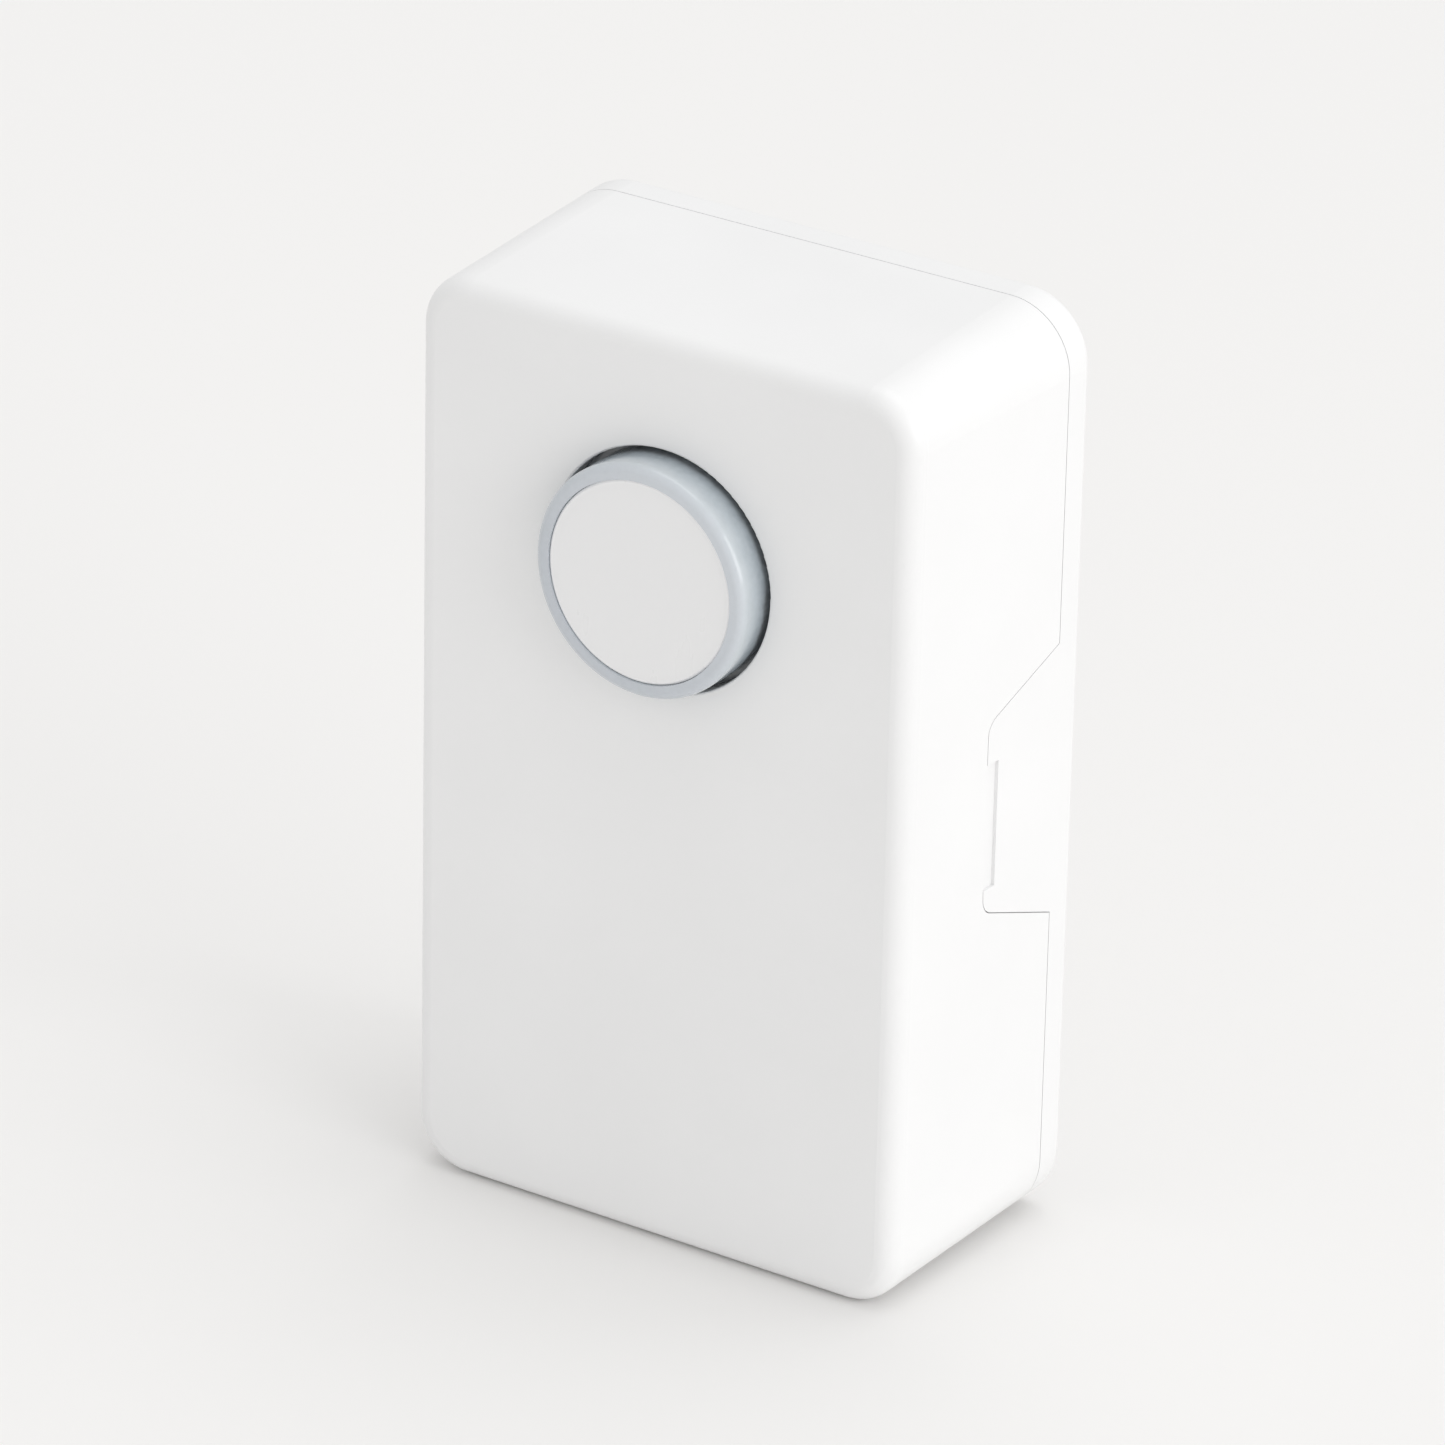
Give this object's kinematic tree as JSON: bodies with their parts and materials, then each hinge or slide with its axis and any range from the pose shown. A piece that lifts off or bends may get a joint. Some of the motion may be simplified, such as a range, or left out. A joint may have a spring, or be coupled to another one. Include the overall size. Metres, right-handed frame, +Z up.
{
  "type": "doorbell push unit",
  "caption": "Battery-powered wall doorbell: drafted white housing, round lit push button with return spring, and a rear cover released by side squeeze tabs.",
  "frame": {"origin": "middle of the flat base, halfway between the front face and the wall face", "axes": "+Z up along the housing, +Y towards the wall behind the unit, +X to the right of someone facing the button"},
  "size_m": [0.0612, 0.0344, 0.1013],
  "materials": {
    "board_green": "satin",
    "can_aluminium": "satin",
    "cap_white": "satin",
    "cell": "satin",
    "chip_black": "matte",
    "cone_paper": "matte",
    "frame_plastic": "matte",
    "gold_contact": "polished",
    "led_white": "satin",
    "magnet_steel": "satin",
    "ring_translucent": "gloss",
    "screw_steel": "satin",
    "seal_foam": "matte",
    "seal_rubber": "matte",
    "setup_grey": "satin",
    "shell_white": "satin",
    "spring_steel": "satin",
    "switch_black": "satin",
    "switch_plunger": "satin",
    "tin_plate": "satin"
  },
  "bodies": {
    "root": {"front_housing": "shell_white", "return_spring": "spring_steel", "button_guide": "frame_plastic", "guide_screws": "screw_steel", "key_switch": "switch_black", "main_board": "board_green", "board_screws": "screw_steel", "ring_leds": "led_white", "processor": "chip_black", "radio_module": "board_green", "radio_shield": "tin_plate", "antenna": "tin_plate", "capacitors": "can_aluminium", "speaker_frame": "switch_black", "speaker_cone": "cone_paper", "speaker_magnet": "magnet_steel", "speaker_gasket": "seal_foam", "speaker_contacts": "gold_contact", "microphone": "tin_plate", "microphone_boot": "seal_rubber", "setup_switch": "switch_black", "battery_tray": "frame_plastic", "tray_screws": "screw_steel", "battery_left": "cell", "battery_right": "cell", "battery_springs": "spring_steel", "contact_plates": "tin_plate"},
    "button": {"button_cap": "cap_white", "light_ring": "ring_translucent", "button_carrier": "frame_plastic"},
    "switch_plunger": {"switch_plunger": "switch_plunger"},
    "setup_pin": {"setup_button": "setup_grey"},
    "cover": {"rear_cover": "shell_white", "cover_gasket": "seal_rubber"}
  },
  "joints": [
    {"name": "button_press", "type": "slide", "parent": "root", "child": "button", "axis": [0, 1, 0], "range_m": [0, 0.0008], "stiffness_N_per_m": 1500, "springref_m": -0.0008, "deforming": ["return_spring"]},
    {"name": "plunger_press", "type": "slide", "parent": "root", "child": "switch_plunger", "axis": [0, 1, 0], "range_m": [0, 0.0008]},
    {"name": "setup_press", "type": "slide", "parent": "root", "child": "setup_pin", "axis": [0, -1, 0], "range_m": [0, 0.0003], "stiffness_N_per_m": 1200, "springref_m": -0.0004},
    {"name": "cover_slide", "type": "slide", "parent": "root", "child": "cover", "axis": [0, 1, 0], "range_m": [0, 0.03]}
  ],
  "couplings": [
    {"joint": "plunger_press", "follows": "button_press", "ratio": 1}
  ]
}
